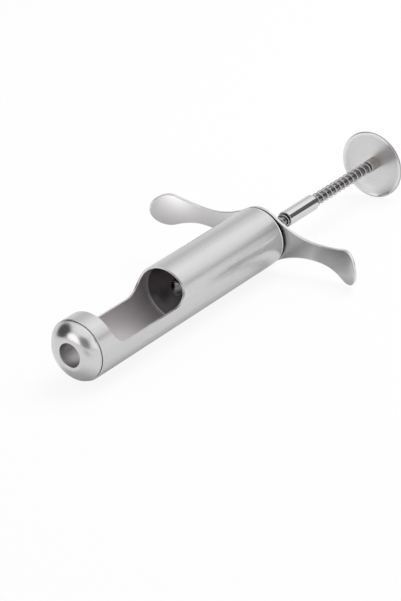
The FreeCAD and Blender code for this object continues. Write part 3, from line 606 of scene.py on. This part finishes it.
def make_floor():
    """Pale floor that looks near white and keeps a faint shadow; mirror rays also meet its painted patches.
    """
    material, tree, shader = new_material("floor")
    shader.inputs["Base Color"].default_value = (FLOOR_LEVEL, FLOOR_LEVEL, FLOOR_LEVEL, 1)
    shader.inputs["Roughness"].default_value = FLOOR_ROUGHNESS
    shader.inputs["Specular IOR Level"].default_value = 0.0
    path = add(tree, "LightPath")
    point = place_of(tree)
    surface = shader.outputs[0]
    for patch in FLOOR_PATCHES:
        across, along = (size * MM for size in patch["half_size"])
        middle = (patch["middle"][0] * MM, patch["middle"][1] * MM, 0)
        share = near(tree, point, middle, (1 / across, 1 / along, 0), patch["inner"])
        share = calculate(tree, "MULTIPLY", share, patch["cover"])
        share = calculate(tree, "MULTIPLY", share, path.outputs["Is Glossy Ray"])
        glow = add(tree, "Emission", Color=WHITE, Strength=patch["level"])
        surface = add(tree, "MixShader", i0=share, i1=surface, i2=glow.outputs[0]).outputs[0]
    glow = add(tree, "Emission", Color=WHITE, Strength=1.0)
    share = calculate(tree, "MULTIPLY", path.outputs["Is Camera Ray"], FLOOR_WHITENED)
    shown = add(tree, "MixShader", i0=share, i1=surface, i2=glow.outputs[0])
    tree.links.new(shown.outputs[0], tree.nodes["Material Output"].inputs["Surface"])
    size = FLOOR_SIZE
    corners = [(-size, -size, 0), (size, -size, 0), (size, size, 0), (-size, size, 0)]
    floor = make_object("floor", corners, [(0, 1, 2, 3)], material)


def make_world():
    """White backdrop; metal mirrors soft strips along the tool and a few cards round it."""
    world = bpy.data.worlds.new("studio")
    world.use_nodes = True
    bpy.context.scene.world = world
    tree = world.node_tree
    direction = add(tree, "TexCoord").outputs["Generated"]
    parts = add(tree, "SeparateXYZ", i0=direction)
    angle = calculate(tree, "ARCTAN2", parts.outputs["Z"], parts.outputs["X"])
    turned_by = calculate(tree, "DIVIDE", angle, 2 * math.pi)
    strips = add(tree, "ValToRGB", Fac=calculate(tree, "ADD", turned_by, 0.5))
    stops = strips.color_ramp.elements
    while len(stops) < len(STRIPS):
        stops.new(0.5)
    for stop, (degrees, _) in zip(stops, STRIPS):
        stop.position = degrees / 360 + 0.5
    for stop, (_, level) in zip(stops, STRIPS):
        stop.color = grey(level / HEADROOM)
    behind = rise(tree, parts.outputs["Y"], *FRONT_TO_BACK)
    seen = blend_colours(tree, behind, grey(FRONT_LEVEL / HEADROOM), strips.outputs[0])
    for card in WORLD_CARDS:
        unit = Vector(card["towards"]).normalized()
        close = add(tree, "VectorMath", {"operation": "DOT_PRODUCT"}, i0=direction, i1=unit).outputs["Value"]
        gone = math.cos(math.radians(card["gone"]))
        full = math.cos(math.radians(card["full"]))
        covered = rise(tree, close, gone, full)
        seen = blend_colours(tree, covered, seen, grey(card["level"] / HEADROOM))
    path = add(tree, "LightPath")
    mirrored = add(tree, "Background", Color=seen, Strength=HEADROOM)
    plain = add(tree, "Background", Color=WHITE, Strength=PLAIN_LIGHT)
    white = add(tree, "Background", Color=WHITE, Strength=1.0)
    glossy = path.outputs["Is Glossy Ray"]
    lit = add(tree, "MixShader", i0=glossy, i1=plain.outputs[0], i2=mirrored.outputs[0])
    shown = add(tree, "MixShader", i0=path.outputs["Is Camera Ray"], i1=lit.outputs[0], i2=white.outputs[0])
    tree.links.new(shown.outputs[0], tree.nodes["World Output"].inputs["Surface"])


# Where a card's spot starts to fade, as a share of its half sizes
SPOT_INNER = 0.4


def make_card(name, corners, level, cover=1.0, spot=None):
    """A dark card that only metal mirrors, and only from its front.

    With a spot it fades from a middle outwards. The spot is that middle and one over the half sizes of what
    it darkens, both as shares of the card's box.
    """
    material, tree, _ = new_material(name)
    glow = add(tree, "Emission", Color=WHITE, Strength=level)
    clear = add(tree, "BsdfTransparent")
    front = calculate(tree, "SUBTRACT", 1.0, add(tree, "NewGeometry").outputs["Backfacing"])
    share = calculate(tree, "MULTIPLY", front, cover)
    if spot:
        middle, factors = spot
        place = add(tree, "TexCoord").outputs["Generated"]
        share = calculate(tree, "MULTIPLY", share, near(tree, place, middle, factors, SPOT_INNER))
    shown = add(tree, "MixShader", i0=share, i1=clear.outputs[0], i2=glow.outputs[0])
    tree.links.new(shown.outputs[0], tree.nodes["Material Output"].inputs["Surface"])
    card = make_object(name, corners, [(0, 1, 2, 3)], material)
    card.visible_camera = False
    card.visible_diffuse = False
    card.visible_shadow = False


SLEEVE_CARD_WAY = Vector((0.60, 0.76, 0.25)).normalized()
SLEEVE_CARD_LEAN = Vector((-0.42, 0, 0.9)).normalized()
SLEEVE_CARD_DISTANCE = 130 * MM
SLEEVE_CARD_HALF_LENGTH = 36 * MM
SLEEVE_CARD_HALF_HEIGHT = 44 * MM


def make_sleeve_card():
    """Beside the plunger: it draws the sleeve's long dark stripe."""
    middle = Vector((0, (SLEEVE_LOW.y + SLEEVE_HIGH.y) / 2, AXIS_HEIGHT))
    along = SLEEVE_CARD_WAY.cross(SLEEVE_CARD_LEAN).normalized() * SLEEVE_CARD_HALF_LENGTH
    up = along.cross(SLEEVE_CARD_WAY).normalized() * SLEEVE_CARD_HALF_HEIGHT
    centre = middle + SLEEVE_CARD_WAY * SLEEVE_CARD_DISTANCE
    corners = [centre - along - up, centre + along - up, centre + along + up, centre - along + up]
    make_card("sleeve_card", corners, level=0.14)


WING_CARD_NEAR = Vector((42 * MM, -2 * MM, 0))
WING_CARD_FAR = Vector((27 * MM, 19.5 * MM, 0))
WING_CARD_DROP = 16.4 * MM
WING_CARD_SPOT = ((0.27, 0, 0.42), (3.0, 0, 1.7))


def make_wing_card():
    """Upright beside the tube's rear, from near the floor to the axis: it shades the right wing's face."""
    foot = Vector((0, 0, AXIS_HEIGHT - WING_CARD_DROP))
    top = Vector((0, 0, AXIS_HEIGHT))
    corners = [WING_CARD_NEAR + foot, WING_CARD_FAR + foot, WING_CARD_FAR + top, WING_CARD_NEAR + top]
    make_card("wing_card", corners, level=0.08, cover=0.42, spot=WING_CARD_SPOT)


def make_lamp(name, place, size, power):
    """A soft square lamp aimed at the tool."""
    data = bpy.data.lights.new(name, "AREA")
    data.size = size
    data.energy = power
    lamp = bpy.data.objects.new(name, data)
    lamp.location = place
    lamp.rotation_mode = "QUATERNION"
    lamp.rotation_quaternion = Vector(place).to_track_quat("Z", "Y")
    lamp.visible_glossy = False
    lamp.visible_camera = False
    bpy.context.scene.collection.objects.link(lamp)


make_camera()
make_floor()
make_world()
make_sleeve_card()
make_wing_card()
make_lamp("key_lamp", place=(0.3, 0.5, 1.2), size=0.9, power=9.0)
bpy.context.scene.view_settings.view_transform = "Standard"

turned = collar_steel()
dress("barrel_tube", barrel_steel())
dress("front_cap", cap_steel())
dress("fruit_cup", cup_steel())
dress("rear_plug", plug_steel())
dress("handle_plate", plate_steel())
dress("lock_nut", polished_steel("nut_steel", level=0.74, roughness=0.12))
dress("plunger_rod", turned)
dress("coring_head", head_steel())
dress("stop_sleeve", polished_steel("polished_sleeve", level=0.69, roughness=0.07))
dress("disc_collar", turned)
dress("thumb_disc", disc_steel())
make_coil()
make_bead()
